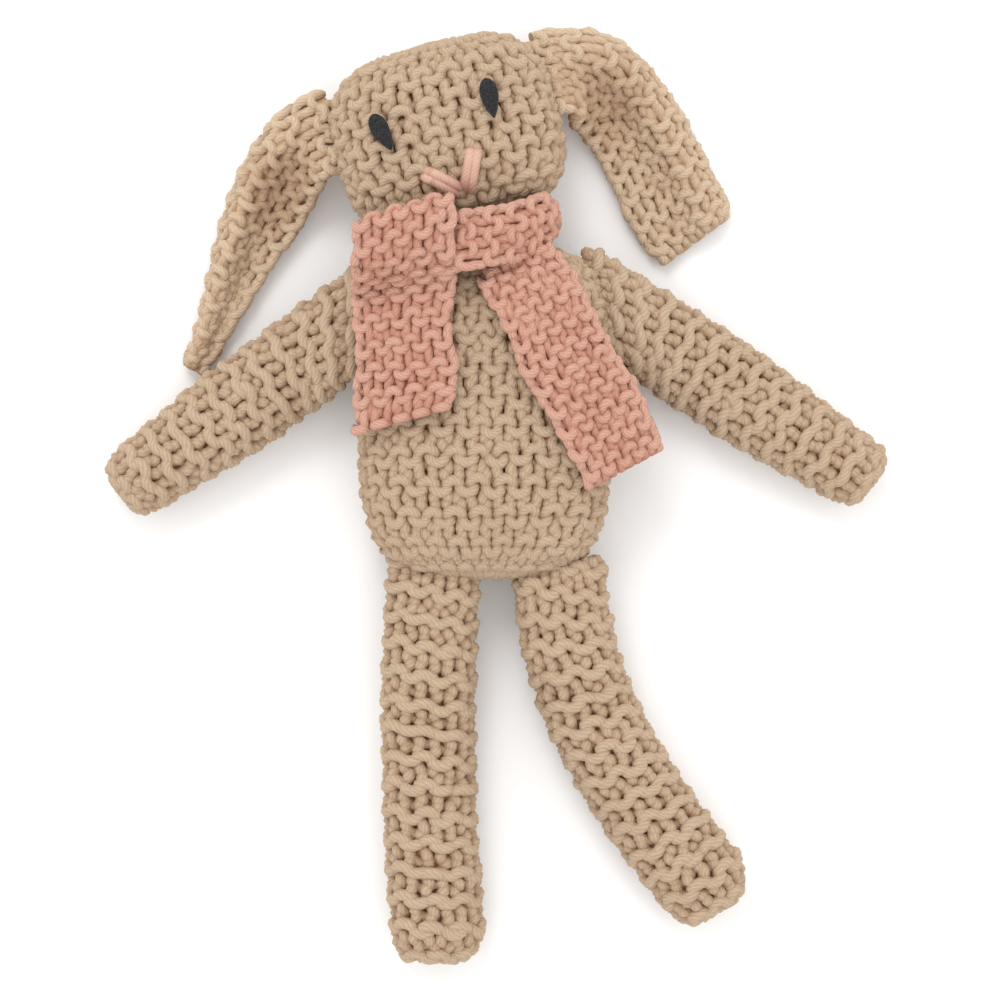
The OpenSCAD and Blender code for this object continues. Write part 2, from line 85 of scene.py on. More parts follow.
def evenly(line, count, closed=False):
    """The same line with count points at even distances."""
    if closed:
        line = np.vstack([line, line[:1]])
    run = np.concatenate([[0], np.cumsum(np.linalg.norm(np.diff(line, axis=0), axis=1))])
    want = np.linspace(0, run[-1], count + 1)[:-1] if closed else np.linspace(0, run[-1], count)
    return np.stack([np.interp(want, run, line[:, k]) for k in range(3)], axis=1)


class Cloth:
    """The middle surface of a piece of knitting: a grid whose first axis runs from row to row."""

    def __init__(self, lines, tube, count=160, around=144):
        grid = np.stack([evenly(np.asarray(line, float), around, tube) for line in lines])
        middle = grid[:, around // 4 if tube else around // 2]
        run = np.concatenate([[0], np.cumsum(np.linalg.norm(np.diff(middle, axis=0), axis=1))])
        want = np.linspace(0, run[-1], count)
        flat = grid.reshape(len(grid), -1)
        even = np.stack([np.interp(want, run, flat[:, k]) for k in range(flat.shape[1])], axis=1)
        self.points = even.reshape(count, around, 3)
        self.tube, self.length = tube, run[-1]
        self.turn()

    def turn(self):
        """Works out which way the surface faces at each of its points."""
        grid = self.points
        ahead = np.gradient(grid, axis=0)
        across = np.roll(grid, -1, 1) - np.roll(grid, 1, 1) if self.tube else np.gradient(grid, axis=1)
        facing = np.cross(across, ahead)
        self.facing = facing / np.maximum(np.linalg.norm(facing, axis=2, keepdims=True), 1e-9)

    def at(self, u, v):
        """Points and facings at shares u across and v along; past the ends the cloth runs straight on."""
        rows, cols = self.points.shape[:2]
        y = np.asarray(v, float) * (rows - 1)
        i = np.clip(np.floor(y).astype(int), 0, rows - 2)
        x = (np.asarray(u, float) % 1) * cols if self.tube else np.asarray(u, float) * (cols - 1)
        j = np.floor(x).astype(int) if self.tube else np.clip(np.floor(x).astype(int), 0, cols - 2)
        fy, fx = (y - i)[:, None], (x - j)[:, None]
        j, k = j % cols, (j + 1) % cols
        found = []
        for grid in (self.points, self.facing):
            near = grid[i, j] * (1 - fx) + grid[i, k] * fx
            far = grid[i + 1, j] * (1 - fx) + grid[i + 1, k] * fx
            found.append(near * (1 - fy) + far * fy)
        found[1] /= np.maximum(np.linalg.norm(found[1], axis=1, keepdims=True), 1e-9)
        return found


LOOP_STEPS = 20


def garter_rows(
    cloth, rows, stitches, seed, reach=1.0, bulge=0.15, depth=1.15, sunk=0.25, slant=0.05, bias=0.0, loose=1.0
):
    """The yarn of each row: its points, the cloth's facing there, and a height that its painted shade
    follows.

    A loop reaches that many rows up and down, and bulges sideways and out of the cloth. Its legs are sunk
    between the ridges. Slant and bias lean it, and loose scales how uneven the stitches are.
    """
    rng = np.random.default_rng(seed)
    strands = []
    sway = rng.normal(0, 0.05, rows).cumsum()
    edge = 0 if cloth.tube else 0.25
    for row in range(rows):
        t = np.linspace(edge, stitches - edge, stitches * LOOP_STEPS + 1)[: -1 if cloth.tube else None]
        sizes, tall, lift = (
            np.interp(t, np.arange(stitches + 1), np.append(wild, wild[0]))
            for wild in (rng.normal(0, spread * loose, stitches) for spread in (0.07, 0.1, 0.22))
        )
        side = 1 if row % 2 else -1
        hook = t - 0.083 * np.sin(4 * math.pi * t)
        lean = side * slant * np.cos(2 * math.pi * t)
        u = (t + bulge * np.sin(4 * math.pi * t) + lean + sizes - edge) / (stitches - 2 * edge)
        u += (0.12 * (sway[row] - sway.mean()) / stitches) if cloth.tube else 0
        v = (row + 0.5 - (reach + tall) * np.cos(2 * math.pi * t) + bias * np.cos(2 * math.pi * u)) / rows
        height = side * depth * np.cos(6 * math.pi * hook) * (1 - sunk * np.sin(2 * math.pi * t) ** 2) + lift
        if not cloth.tube:
            u, v = (1 - u if row % 2 else u), np.clip(v, 0.1 / rows, 1 - 0.1 / rows)
        points, facing = cloth.at(u, v)
        points = points + facing * height[:, None]
        points[:, 2] = np.maximum(points[:, 2], YARN_R)
        # The ends of tubes and the edges of flat pieces are lifted out of the painted shade.
        if cloth.tube:
            rim = 3 * ease(1.5 - np.minimum(v, 1 - v) * rows)
        else:
            rim = 2.6 * ease(np.abs(2 * u - 1) * 4 - 3)
        strands.append((points, facing, height + rim))
    if cloth.tube:
        return strands
    joined = [np.concatenate([strand[k] for strand in strands]) for k in range(3)]
    return [tuple(joined)]


def spin(name, strands, radius, closed, finish):
    """Lays yarn along each strand as one mesh, with a UV map that runs along and round the yarn."""
    curve = bpy.data.curves.new(name, "CURVE")
    curve.dimensions = "3D"
    curve.bevel_depth = radius * MM
    curve.bevel_resolution = 2
    curve.use_fill_caps = True
    for points, _, _ in strands:
        spline = curve.splines.new("POLY")
        spline.points.add(len(points) - 1)
        spline.points.foreach_set("co", np.c_[points * MM, np.ones(len(points))].ravel())
        spline.use_cyclic_u = closed
    holder = bpy.data.objects.new(name + "_line", curve)
    mesh = bpy.data.meshes.new_from_object(holder)
    mesh.name = name
    bpy.data.objects.remove(holder)
    places = np.zeros(len(mesh.vertices) * 3)
    mesh.vertices.foreach_get("co", places)
    places = places.reshape(-1, 3) / MM
    # How far each point stands out of the cloth, which the yarn's painted shade and painted light follow.
    depth = np.zeros(len(places))
    along = np.zeros(len(mesh.loops) * 2)
    mesh.uv_layers[0].data.foreach_get("uv", along)
    along = along.reshape(-1, 2)
    sheet = along.copy()
    vertex, loop = 0, 0
    for number, (points, facing, height) in enumerate(strands):
        vertex += 0 if closed else 16
        rings = places[vertex : vertex + 8 * len(points)].reshape(-1, 8, 3)
        out = ((rings - points[:, None]) * facing[:, None]).sum(2)
        depth[vertex : vertex + 8 * len(points)] = (out + height[:, None]).ravel()
        vertex += 8 * len(points)
        loops = 8 * 4 * len(points) if closed else 36 + 8 * 4 * (len(points) - 1)
        length = np.linalg.norm(np.diff(points, axis=0), axis=1).sum()
        sheet[loop : loop + loops, 1] = (number + 0.05 + 0.9 * along[loop : loop + loops, 1]) / len(strands)
        along[loop : loop + loops, 0] *= length
        loop += loops
    mesh.uv_layers[0].data.foreach_set("uv", along.ravel())
    mesh.uv_layers[0].name = "yarn"
    mesh.uv_layers.new(name="OFBake").data.foreach_set("uv", sheet.ravel())
    mesh.attributes.new("depth", "FLOAT", "POINT").data.foreach_set("value", depth.astype(np.float32))
    mesh.polygons.foreach_set("use_smooth", np.ones(len(mesh.polygons), bool))
    mesh.materials.clear()
    mesh.materials.append(finish)
    piece = bpy.data.objects.new(name, mesh)
    bpy.context.scene.collection.objects.link(piece)
    return piece


GROUND_MARGIN = 0.05


def lining(name, cloth, inset, finish, across=40, along=44, thick=0.0):
    """A plain skin just inside a cloth: the filling of a bag, or the shaded ground of a single layer."""
    bm = bmesh.new()
    bmesh.ops.create_grid(bm, x_segments=across, y_segments=along, size=0.5)
    corners = [v.co.copy() for v in bm.verts]
    u = np.array([c.x + 0.5 for c in corners])
    v = np.array([c.y + 0.5 for c in corners])
    if cloth.tube:
        u = np.where(u > 0.9999, 0.0, u)
    else:
        u, v = mixed(GROUND_MARGIN, 1 - GROUND_MARGIN, u), mixed(0.01, 0.99, v)
    points, facing = cloth.at(u, v)
    for vert, place in zip(bm.verts, (points + facing * -inset) * MM):
        vert.co = place
    if cloth.tube:
        bmesh.ops.remove_doubles(bm, verts=bm.verts, dist=1e-6)
        bmesh.ops.holes_fill(bm, edges=bm.edges, sides=0)
        bmesh.ops.recalc_face_normals(bm, faces=bm.faces)
    elif thick:
        bmesh.ops.solidify(bm, geom=bm.faces[:], thickness=thick * MM)
        bmesh.ops.recalc_face_normals(bm, faces=bm.faces)
    mesh = bpy.data.meshes.new(name)
    bm.to_mesh(mesh)
    bm.free()
    mesh.polygons.foreach_set("use_smooth", np.ones(len(mesh.polygons), bool))
    mesh.materials.append(finish)
    piece = bpy.data.objects.new(name, mesh)
    bpy.context.scene.collection.objects.link(piece)
    return piece


class Value:
    """A number that changes over a surface. Sums on it add Math nodes."""

    def __init__(self, finish, socket):
        self.finish, self.socket = finish, socket

    def sum(self, operation, a, b=0.0, c=0.0):
        return self.finish.node("ShaderNodeMath", {"operation": operation}, {0: a, 1: b, 2: c})

    def __add__(self, other):
        return self.sum("ADD", self, other)

    def __sub__(self, other):
        return self.sum("SUBTRACT", self, other)

    def __rsub__(self, other):
        return self.sum("SUBTRACT", other, self)

    def __mul__(self, other):
        return self.sum("MULTIPLY", self, other)

    def __truediv__(self, other):
        return self.sum("DIVIDE", self, other)

    def __pow__(self, other):
        return self.sum("POWER", self, other)

    def size(self):
        return self.sum("ABSOLUTE", self)

    def wave(self):
        return self.sum("SINE", self)

    def between(self, low, high):
        """0 at low, 1 at high, and smooth between."""
        settings = {"interpolation_type": "SMOOTHSTEP"}
        return self.finish.node("ShaderNodeMapRange", settings, {0: self, 1: low, 2: high})

    __radd__, __rmul__ = __add__, __mul__


class Finish:
    """A material, built up node by node."""

    def __init__(self, name, roughness, sheen, sheen_tint, specular=0.25):
        self.material = bpy.data.materials.new(name)
        self.material.use_nodes = True
        self.tree = self.material.node_tree
        self.shader = self.tree.nodes["Principled BSDF"]
        for socket, value in (
            ("Roughness", roughness),
            ("Sheen Weight", sheen),
            ("Sheen Roughness", 0.45),
            ("Sheen Tint", (*sheen_tint, 1)),
            ("Specular IOR Level", specular),
        ):
            self.shader.inputs[socket].default_value = value

    def node(self, kind, settings=None, inputs=None, output=0):
        made = self.tree.nodes.new(kind)
        for key, value in (settings or {}).items():
            setattr(made, key, value)
        for key, value in (inputs or {}).items():
            self.feed(made.inputs[key], value)
        return Value(self, made.outputs[output])

    def feed(self, socket, value):
        if isinstance(value, Value):
            self.tree.links.new(value.socket, socket)
        else:
            socket.default_value = value

    def mix(self, share, a, b):
        return self.node("ShaderNodeMix", {"data_type": "RGBA"}, {0: share, 6: a, 7: b}, 2)

    def noise(self, place, scale, detail=2.0):
        return self.node("ShaderNodeTexNoise", {}, {"Vector": place, "Scale": scale, "Detail": detail})

    def object_place(self):
        return self.node("ShaderNodeTexCoord", output=3)


def linear(red, green, blue):
    """A colour on a 0 to 255 scale as the shader needs it."""
    return tuple(((c / 255 + 0.055) / 1.055) ** 2.4 for c in (red, green, blue)) + (1.0,)


PLY_STEP = 1.55
PLIES = 7
YARN_SHEEN = 0.35


def yarn_finish(name, light, mid, shade_colour):
    """Soft plied yarn: plies wind round it and fibres run along it. Painted shade darkens it where it dives
    inwards and in the grooves between its plies; painted light brightens its raised parts, and painted
    highlights and shade streak its fibres.
    """
    yarn = Finish(name, 0.85, YARN_SHEEN, light[:3])
    map_of_yarn = yarn.node("ShaderNodeUVMap", {"uv_map": "yarn"})
    along = yarn.node("ShaderNodeSeparateXYZ", {}, {0: map_of_yarn}, 0)
    around = yarn.node("ShaderNodeSeparateXYZ", {}, {0: map_of_yarn}, 1)
    place = yarn.object_place()
    wander = yarn.noise(place, 220.0)
    ply = ((around * PLIES - along / PLY_STEP + wander * 1.8) * math.pi).wave().size()
    rounded = ply**0.6
    streaks = yarn.node("ShaderNodeCombineXYZ", {}, {0: along * 0.5, 1: around * 38.0 - along * 3.5})
    fibres = yarn.noise(streaks, 3.0, 3.0)
    depth = yarn.node("ShaderNodeAttribute", {"attribute_name": "depth"}, output=2)
    patches = yarn.noise(place, 45.0)
    # Painted shade where the yarn dives into the cloth, and painted light where it stands out of it.
    out_of_shade = depth.between(-3.4, 0.9)
    colour = yarn.mix(out_of_shade, shade_colour, mid)
    colour = yarn.mix(depth.between(0.6, 2.8) * (0.35 + 0.65 * rounded), colour, light)
    # Painted shade in the grooves between the plies.
    colour = yarn.mix(rounded.between(0.6, 0.0) * 0.28, colour, shade_colour)
    # Streaks along the fibres: a random tone painted as highlights paler than the lit yarn and as shade.
    colour = yarn.mix(fibres.between(0.5, 0.72) * 0.55, colour, tuple(min(1.0, c * 1.3) for c in light))
    colour = yarn.mix(fibres.between(0.48, 0.26) * 0.4, colour, shade_colour)
    colour = yarn.mix(patches.between(0.45, 0.75) * 0.22, colour, mid)
    yarn.feed(yarn.shader.inputs["Base Color"], colour)
    relief = rounded * 0.75 + fibres * 0.45
    bump = yarn.node("ShaderNodeBump", {}, {"Strength": 0.6, "Distance": 0.0005, "Height": relief})
    yarn.feed(yarn.shader.inputs["Normal"], bump)
    return yarn.material


def filling_finish(name, light, shade_colour):
    """Loose filling seen through the stitches, coloured with the painted shade of the holes, or a sheet of
    painted shade at the back of a single layer.
    """
    fill = Finish(name, 0.95, 0.1, light[:3])
    place = fill.object_place()
    tufts = fill.noise(place, 380.0, 4.0)
    fill.feed(fill.shader.inputs["Base Color"], fill.mix(tufts.between(0.35, 0.7), shade_colour, light))
    bump = fill.node("ShaderNodeBump", {}, {"Strength": 0.6, "Distance": 0.0008, "Height": tufts})
    fill.feed(fill.shader.inputs["Normal"], bump)
    return fill.material


oatmeal = yarn_finish("oatmeal yarn", linear(188, 166, 141), linear(170, 141, 114), linear(150, 111, 82))
# The filling behind the stitches is painted in the brown of the shade there.
ground = filling_finish("ground behind the stitches", linear(184, 141, 107), linear(152, 111, 80))


BAG_ENDS = 0.997


def bag_lines(width, length, mid, front, back, top_p, bottom_p, count=120, around=240):
    """Closed rings of a stuffed bag, from its lower end to its upper end."""
    w, l = width / 2 - COVER_INSET, length / 2 - COVER_INSET + 1.2
    turn = np.arange(around) / around * 2 * math.pi
    lines = []
    for y in np.sin(np.linspace(-1, 1, count) * math.asin(BAG_ENDS)):
        p = top_p if y > 0 else bottom_p
        half = (1 - abs(y) ** p) ** (1 / p)
        x = -half * signed_pow(np.cos(turn), 0.72)
        share = (np.abs(x) ** p + abs(y) ** p) ** (1 / p)
        swell = fullness(share) * np.where(np.sin(turn) > 0, front - COVER_INSET, -(back - COVER_INSET))
        lines.append(np.c_[x * w, np.full(around, y * l), np.maximum(FLOOR_CLEAR, mid + swell)])
    return lines


BODY_TOP_ROUND, BODY_LOW_ROUND = 4.6, 3.6
body_bag = bag_lines(
    BODY_W, BODY_L, BODY_MID, BODY_T - BODY_MID, BODY_MID + 3, BODY_TOP_ROUND, BODY_LOW_ROUND
)
body_cloth = Cloth(body_bag, True)
body_rows = round(body_cloth.length / ROW_STEP)
body_cover = spin("body_cover", garter_rows(body_cloth, body_rows, 23, 11), YARN_R, True, oatmeal)
body_filling = lining("body_filling", body_cloth, 1.6, ground)
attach(body_cover, "torso")
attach(body_filling, "torso")
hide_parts("body_front_panel", "body_back_panel")
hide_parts("body_stuffing")

# ---------------------------------------------------------------------------------------------
# Head bag: a smaller bag of the same knitting and filling, gathered to the body at the neck.
# It leans to one side, and its rows lean with it.
# ---------------------------------------------------------------------------------------------
HEAD_W, HEAD_L, HEAD_T = 68.5, 54.5, 40.0
HEAD_MID = HEAD_T / 2 - 1
HEAD_ROUND = 3.4
LEAN = math.radians(15)
NECK_X, NECK_GAP = -4.0, 7.4
HEAD_UP = np.array([-math.sin(LEAN), math.cos(LEAN), 0])
HEAD_ACROSS = np.array([math.cos(LEAN), math.sin(LEAN), 0])
HEAD_AT = np.array([NECK_X, BODY_L / 2 + NECK_GAP, 0]) + HEAD_UP * HEAD_L / 2


def on_head(points):
    """From the head's own directions to the object's."""
    points = np.atleast_2d(points)
    return HEAD_AT + points[:, :1] * HEAD_ACROSS + points[:, 1:2] * HEAD_UP + points[:, 2:3] * [0, 0, 1]


head_bag = bag_lines(HEAD_W, HEAD_L, HEAD_MID, HEAD_T - HEAD_MID, HEAD_MID + 3, HEAD_ROUND, HEAD_ROUND)
head_cloth = Cloth([on_head(line) for line in head_bag], True)
head_rows = round(head_cloth.length / ROW_STEP)
head_cover = spin("head_cover", garter_rows(head_cloth, head_rows, 20, 12), YARN_R, True, oatmeal)
head_filling = lining("head_filling", head_cloth, 1.6, ground)
for piece, nodes, name in (
    (head_cover, ["head_front_panel", "head_back_panel"], "oatmeal_knit"),
    (head_filling, ["head_stuffing"], "filling"),
):
    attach(piece, "head")
    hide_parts(*nodes)


def face_height(x, y):
    """Height of the face at a point of the head, in the head's own directions."""
    p = HEAD_ROUND
    share = (abs(2 * x / HEAD_W) ** p + abs(2 * y / HEAD_L) ** p) ** (1 / p)
    return HEAD_MID + (HEAD_T - HEAD_MID) * fullness(share)


# ---------------------------------------------------------------------------------------------
# Eyes: two teardrops, point down, cut from 2 mm charcoal felt.
# They are sewn flat on the face, each turned a little, and their cut edges are rounded.
# ---------------------------------------------------------------------------------------------
EYE_L, EYE_W, FELT_T = 12.0, 6.2, 2.0
EYES = {"left_eye": ((-18.84, 3.54), 14), "right_eye": ((14.39, 4.9), -3)}

felt = Finish("charcoal felt", 0.95, 0.5, (0.2, 0.2, 0.21))
felt_place = felt.object_place()
felt_hairs = felt.noise(felt_place, 2600.0, 4.0)
felt_clouds = felt.noise(felt_place, 500.0)
felt_colour = felt.mix(felt_hairs.between(0.35, 0.75), linear(28, 28, 29), linear(62, 61, 60))
felt_colour = felt.mix(felt_clouds.between(0.4, 0.8) * 0.5, felt_colour, linear(28, 28, 29))
felt.feed(felt.shader.inputs["Base Color"], felt_colour)
felt_bump = felt.node("ShaderNodeBump", {}, {"Strength": 0.8, "Distance": 0.0003, "Height": felt_hairs})
felt.feed(felt.shader.inputs["Normal"], felt_bump)

for name, (middle, tilt) in EYES.items():
    bm = bmesh.new()
    bmesh.ops.create_circle(bm, cap_ends=True, segments=48, radius=1)
    turn = math.radians(tilt)
    for vert in bm.verts:
        down = (1 - vert.co.y) / 2
        x = vert.co.x * EYE_W / 2 * (1 - 0.68 * down * down)
        y = vert.co.y * EYE_L / 2
        vert.co = (x * math.cos(turn) - y * math.sin(turn), x * math.sin(turn) + y * math.cos(turn), 0)
    bmesh.ops.inset_region(bm, faces=bm.faces[:], thickness=1.0, depth=0)
    top = bmesh.ops.extrude_face_region(bm, geom=bm.faces[:])
    for vert in (v for v in top["geom"] if isinstance(v, bmesh.types.BMVert)):
        vert.co.z = FELT_T
    rim = [e for e in bm.edges if len(e.link_faces) == 2 and e.calc_face_angle(0) > 0.7]
    bmesh.ops.bevel(bm, geom=rim, offset=0.5, segments=3, profile=0.5, affect="EDGES", material=-1)
    for vert in bm.verts:
        x, y = middle[0] + vert.co.x, middle[1] + vert.co.y
        vert.co = Vector(on_head([x, y, face_height(x, y) + 0.1 + vert.co.z])[0] * MM)
    bmesh.ops.recalc_face_normals(bm, faces=bm.faces)
    mesh = bpy.data.meshes.new(name)
    bm.to_mesh(mesh)
    bm.free()
    mesh.polygons.foreach_set("use_smooth", np.ones(len(mesh.polygons), bool))
    mesh.materials.append(felt.material)
    eye = bpy.data.objects.new(name + "_felt", mesh)
    bpy.context.scene.collection.objects.link(eye)
    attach(eye, "head")
    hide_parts(name)

# ---------------------------------------------------------------------------------------------
# Nose: two long stitches of doubled pink plied yarn that meet in a V.
# They are sewn through the face, so each is pulled down into it at its ends.
# ---------------------------------------------------------------------------------------------
NOSE_AT, NOSE_L, NOSE_R = (0.0, -18.6), 11.2, 1.55
nose_yarn = yarn_finish("pink nose yarn", linear(214, 177, 158), linear(200, 155, 136), linear(172, 122, 104))
nose_strands = []
for sign, spread in ((-1, 49), (1, -25)):
    foot = np.array([NOSE_AT[0] + sign * 1.3, NOSE_AT[1]])
    way = np.array([-math.sin(math.radians(spread)), math.cos(math.radians(spread))])
    for strand_side in (-0.5, 0.5):
        line = []
        for t in np.linspace(0, 1, 16):
            place = foot + way * NOSE_L * t + np.array([way[1], -way[0]]) * strand_side * 1.9
            height = face_height(*place) + 1.0 - 3.4 * abs(2 * t - 1) ** 4
            line.append([*place, height])
        line = on_head(np.array(line))
        nose_strands.append((line, np.tile([0.0, 0, 1], (16, 1)), np.full(16, 1.0)))
nose = spin("nose", nose_strands, NOSE_R, False, nose_yarn)
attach(nose, "head")
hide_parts("nose_stitches")

# ---------------------------------------------------------------------------------------------
# Arms: knitted tubes, stuffed, pinched flat where they are sewn to the body's sides.
# Their stitches are bigger and looser than the body's, so holes show between the strands.
# ---------------------------------------------------------------------------------------------
ROOT_GAP = 2.2
LIMB_R = 1.85


def unit(vector):
    return vector / np.linalg.norm(vector)


def bezier(p, t):
    p = [np.asarray(q, float) for q in p]
    return (1 - t) ** 3 * p[0] + 3 * (1 - t) ** 2 * t * p[1] + 3 * (1 - t) * t * t * p[2] + t**3 * p[3]


def limb_lines(stations, around=96):
    """Closed rings from (middle, side, half width, half thickness, height) stations."""
    turn = np.arange(around) / around * 2 * math.pi
    lines = []
    for middle, side, half_w, half_t, height in stations:
        u = -signed_pow(np.cos(turn), 0.85) * max(half_w - COVER_INSET, 0.5)
        v = signed_pow(np.sin(turn), 0.85) * max(half_t - COVER_INSET, 0.4)
        z = np.maximum(FLOOR_CLEAR, height + v)
        lines.append(np.c_[middle[0] + side[0] * u, middle[1] + side[1] * u, z])
    return lines


def round_end(left, radius, least=0.05):
    """1 along a limb, falling to a blunt end over its last stretch."""
    return 1.0 if left >= radius else math.sqrt(max(least, 1 - ((radius - left) / radius) ** 2))


ARM_FALL = {-1: 35.6, 1: 33.4}
ARM_ROOT_Y = {-1: 0.265 * BODY_L, 1: 0.3 * BODY_L}
ARM_ROOT_W = {-1: 34.0, 1: 31.0}
ARM_L = {-1: 86.0, 1: 92.0}
ARM_W, ARM_T, ARM_TIP_W = 29.0, 23.0, 23.2
ARM_INSIDE = 11


def arm_stations(side):
    length, fall = ARM_L[side], math.radians(ARM_FALL[side])
    root = np.array([side * (BODY_W / 2 + ROOT_GAP), ARM_ROOT_Y[side]])
    way = np.array([side * math.cos(fall), -math.sin(fall)])
    square = np.array([way[1], -way[0]])
    for s in np.linspace(-ARM_INSIDE, length - 1.2, 96):
        turned = ease(s / (0.35 * length))
        across = unit(mixed(np.array([0.0, -side]), square, turned))
        upper = mixed(ARM_ROOT_W[side], ARM_W, ease(s / (0.3 * length)))
        width = mixed(upper, ARM_TIP_W, ease((s / length - 0.45) / 0.5))
        thick = mixed(16.0, ARM_T, ease((s - 8) / 22))
        left = length - s
        yield (
            root + way * s,
            across,
            width / 2 * round_end(left, 7.0, 0.3),
            thick / 2 * round_end(s + ARM_INSIDE, 12.0, 0.12) * round_end(left, 10.0, 0.12),
            mixed(BODY_MID, ARM_T / 2 - 0.6, ease(s / (0.4 * length))),
        )


def stuffed_limb(name, stations, stitches, row_step, seed, bias):
    cloth = Cloth(limb_lines(stations), True)
    rows = 2 * round(cloth.length / row_step / 2)
    strands = garter_rows(
        cloth, rows, stitches, seed, reach=0.76, depth=1.3, sunk=0.5, slant=0.08, bias=bias, loose=1.2
    )
    cover = spin(name + "_knit", strands, LIMB_R, True, oatmeal)
    filling = lining(name + "_filling", cloth, 1.0, ground, 28, 36)
    for piece, node, slot in ((cover, "_cover", "oatmeal_knit"), (filling, "_stuffing", "filling")):
        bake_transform(piece)
        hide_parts(name + node)
    return cloth


arm_cloth = {}
for side, name in ((-1, "left_arm"), (1, "right_arm")):
    height = ARM_ROOT_Y[side] * MM
    arm_cloth[name] = stuffed_limb(name, list(arm_stations(side)), 8, 3.8, 21 + side, 0.0)

# ---------------------------------------------------------------------------------------------
# Legs: longer tubes of the same loose knitting, sewn flat along the bottom of the body.
# The right one bends outwards below the knee.
# ---------------------------------------------------------------------------------------------
LEG_W, LEG_T = 29.0, 25.0
LEG_L = {"left_leg": 114.5, "right_leg": 110.0}
LEG_ROOT_Y = -BODY_L / 2 - ROOT_GAP
LEG_SPINE = {
    "left_leg": [(-15.8, -51.45), (-18.3, -90.45), (-17.3, -128.0), (-13.3, -166.0)],
    "right_leg": [(22.7, -51.45), (24.95, -87.0), (41.4, -112.3), (72.4, -150.2)],
}


def leg_stations(spine, length):
    for t in np.linspace(-0.07, 0.988, 100):
        s = t * length
        left = length - s
        ahead = unit(bezier(spine, t + 0.01) - bezier(spine, t - 0.01))
        across = unit(mixed(np.array([-1.0, 0.0]), np.array([ahead[1], -ahead[0]]), ease(t / 0.25)))
        thick = mixed(9.0, LEG_T / 2, ease((s - 9) / 24))
        yield (
            bezier(spine, t),
            across,
            LEG_W / 2 * round_end(left, 9.0, 0.2),
            thick * round_end(s + 8.0, 12.0, 0.12) * round_end(left, 11.0, 0.12),
            mixed(BODY_MID, LEG_T / 2 - 0.6, ease(t / 0.4)),
        )


leg_cloth = {}
for seed, name in ((31, "left_leg"), (32, "right_leg")):
    across = LEG_SPINE[name][0][0] * MM
    stations = list(leg_stations(LEG_SPINE[name], LEG_L[name]))
    leg_cloth[name] = stuffed_limb(name, stations, 8, 4.1, seed, 0.4)

# ---------------------------------------------------------------------------------------------
# Ears: long single strips of garter stitch in the same yarn, sewn to the head's sides.
# One long edge of each rolls up, and its hollow near the root lies in shade.
# ---------------------------------------------------------------------------------------------
EAR_W, EAR_T, EAR_ROLL = 31.0, 5.5, 8.0
EAR_L = {-1: 80.0, 1: 65.0}
EAR_ROOT_W = 0.5 * HEAD_L
EAR_SIDE_GAP = 2.2
EAR_YARN_R = 1.55
# The ears are the same oatmeal yarn, painted paler with the light that falls on them above the head.
ear_yarn_lit = yarn_finish(
    "oatmeal yarn of the ears", linear(203, 181, 155), linear(187, 158, 130), linear(163, 124, 94)
)
hollow = filling_finish("shaded yarn of the single layers", linear(190, 153, 120), linear(158, 120, 90))


def flat(vector):
    return np.asarray(vector)[:2]


def ear_spine(side):
    length = EAR_L[side]
    root = flat(HEAD_AT + HEAD_ACROSS * side * (HEAD_W / 2 + ROOT_GAP) + HEAD_UP * 0.19 * HEAD_L)
    fall = math.radians(ARM_FALL[side])
    way = np.array([side * math.cos(fall), -math.sin(fall)])
    normal = side * np.array([-way[1], way[0]])
    edge = np.array([side * (BODY_W / 2 + ROOT_GAP), ARM_ROOT_Y[side]]) + normal * ARM_W / 2
    clear = EAR_SIDE_GAP + (0.62 * EAR_W / 2 - 8 if side < 0 else EAR_W / 2 + 1)
    drop = (root - edge) @ normal - clear
    tip = root - normal * drop + way * math.sqrt(length**2 - drop**2)
    out = flat(HEAD_ACROSS) * side
    leave, bow = (0.2, 0.02) if side < 0 else (0.33, 0.03)
    near = root + out * length * leave + (tip - root) * 0.04
    far = tip - (tip - root) * 0.36 + out * length * bow
    return [root, near, far, tip]


def ear_lines(side, across=40):
    spine = ear_spine(side)
    lines = []
    for t in np.linspace(-0.09, 1, 90):
        ahead = unit(bezier(spine, min(1, t + 0.01)) - bezier(spine, t - 0.01))
        square = np.array([ahead[1], -ahead[0]])
        width = unit(mixed(-flat(HEAD_UP) * side, square, ease(t / 0.2)))
        if side < 0:
            taper = mixed(0.84 * EAR_W, 0.3 * EAR_W, ease((t - 0.3) / 0.75))
            half = mixed(EAR_ROOT_W, taper, ease(t / 0.12)) / 2
        else:
            tip = math.sqrt(max(0.75, 1 - max(0, (t - 0.93) / 0.07) ** 2))
            half = mixed(EAR_ROOT_W, EAR_W, ease(t / 0.3)) / 2 * tip
        u = np.linspace(-1, 1, across)
        roll = np.exp(-(((side * u + 0.5) / 0.42) ** 2)) + 0.3 * np.clip(side * u, 0, 1) ** 2
        rise = EAR_ROLL * ease(t / 0.25) * (1 - 0.55 * ease((t - 0.55) / 0.45)) * roll
        low = mixed(HEAD_MID - EAR_T / 2, 0, ease(t / 0.45))
        centre = bezier(spine, t)
        z = low + rise + EAR_T / 2 + 0.1
        lines.append(np.c_[centre[0] + width[0] * (half - 2) * u, centre[1] + width[1] * (half - 2) * u, z])
    return lines


